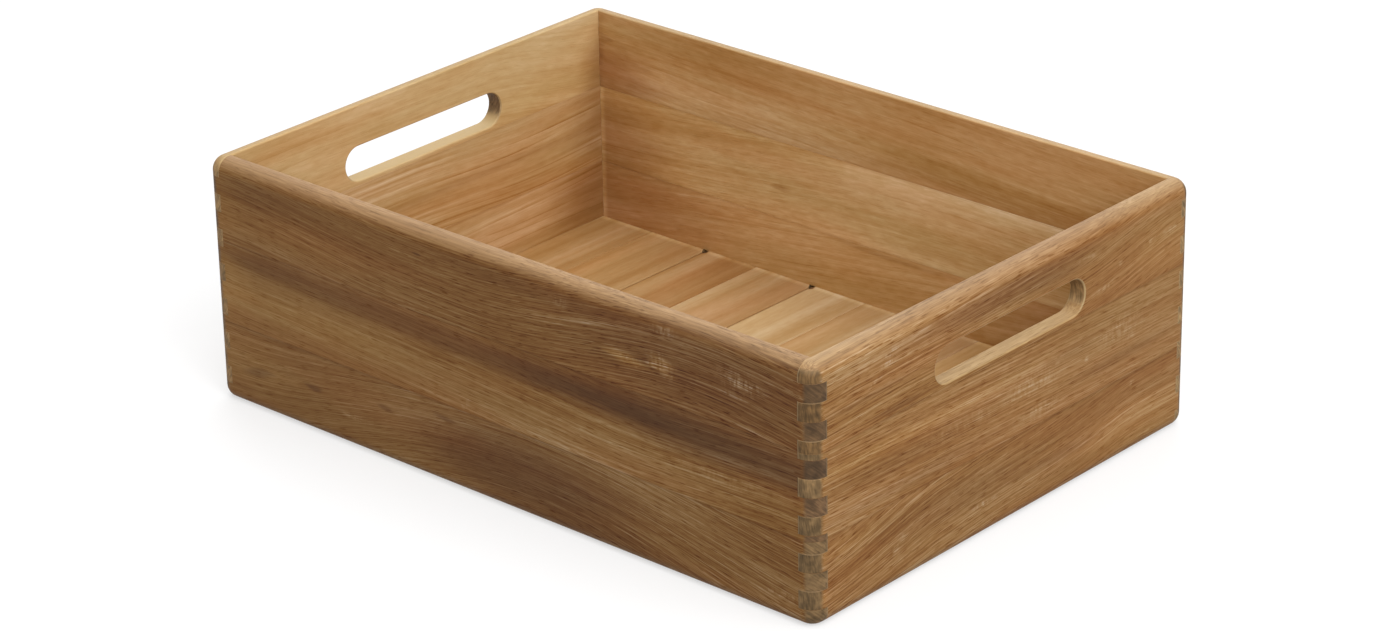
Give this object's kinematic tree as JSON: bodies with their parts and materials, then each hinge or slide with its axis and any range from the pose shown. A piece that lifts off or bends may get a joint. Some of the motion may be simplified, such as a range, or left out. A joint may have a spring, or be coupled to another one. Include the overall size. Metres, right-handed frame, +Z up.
{
  "type": "wooden storage box",
  "caption": "Open-topped rectangular teak storage box with finger-jointed corners, rounded edges, a hand hole in each short wall and a boarded floor.",
  "frame": {"origin": "middle of the footprint, on the surface that the box stands on", "axes": "+X along the long walls, +Y across the box towards the back wall, +Z up"},
  "size_m": [0.42, 0.305, 0.14],
  "materials": {
    "teak_pale": "oiled, satin, pale yellow-brown boards",
    "teak_golden": "oiled, satin, golden-brown boards",
    "teak_brown": "oiled, satin, mid-brown boards",
    "teak_dark": "oiled, satin, dark-brown board with a dark band"
  },
  "bodies": {
    "root": {"front_upper_stave": "teak_brown", "front_middle_stave": "teak_dark", "front_lower_stave": "teak_brown", "back_upper_stave": "teak_brown", "back_middle_stave": "teak_golden", "back_lower_stave": "teak_brown", "left_upper_stave": "teak_pale", "left_middle_stave": "teak_golden", "left_lower_stave": "teak_golden", "right_upper_stave": "teak_golden", "right_middle_stave": "teak_golden", "right_lower_stave": "teak_brown", "floor_board_1": "teak_pale", "floor_board_2": "teak_golden", "floor_board_3": "teak_pale", "floor_board_4": "teak_golden", "floor_board_5": "teak_pale", "floor_board_6": "teak_golden", "floor_board_7": "teak_pale", "floor_board_8": "teak_golden", "floor_board_9": "teak_pale", "floor_board_10": "teak_golden"}
  },
  "joints": []
}
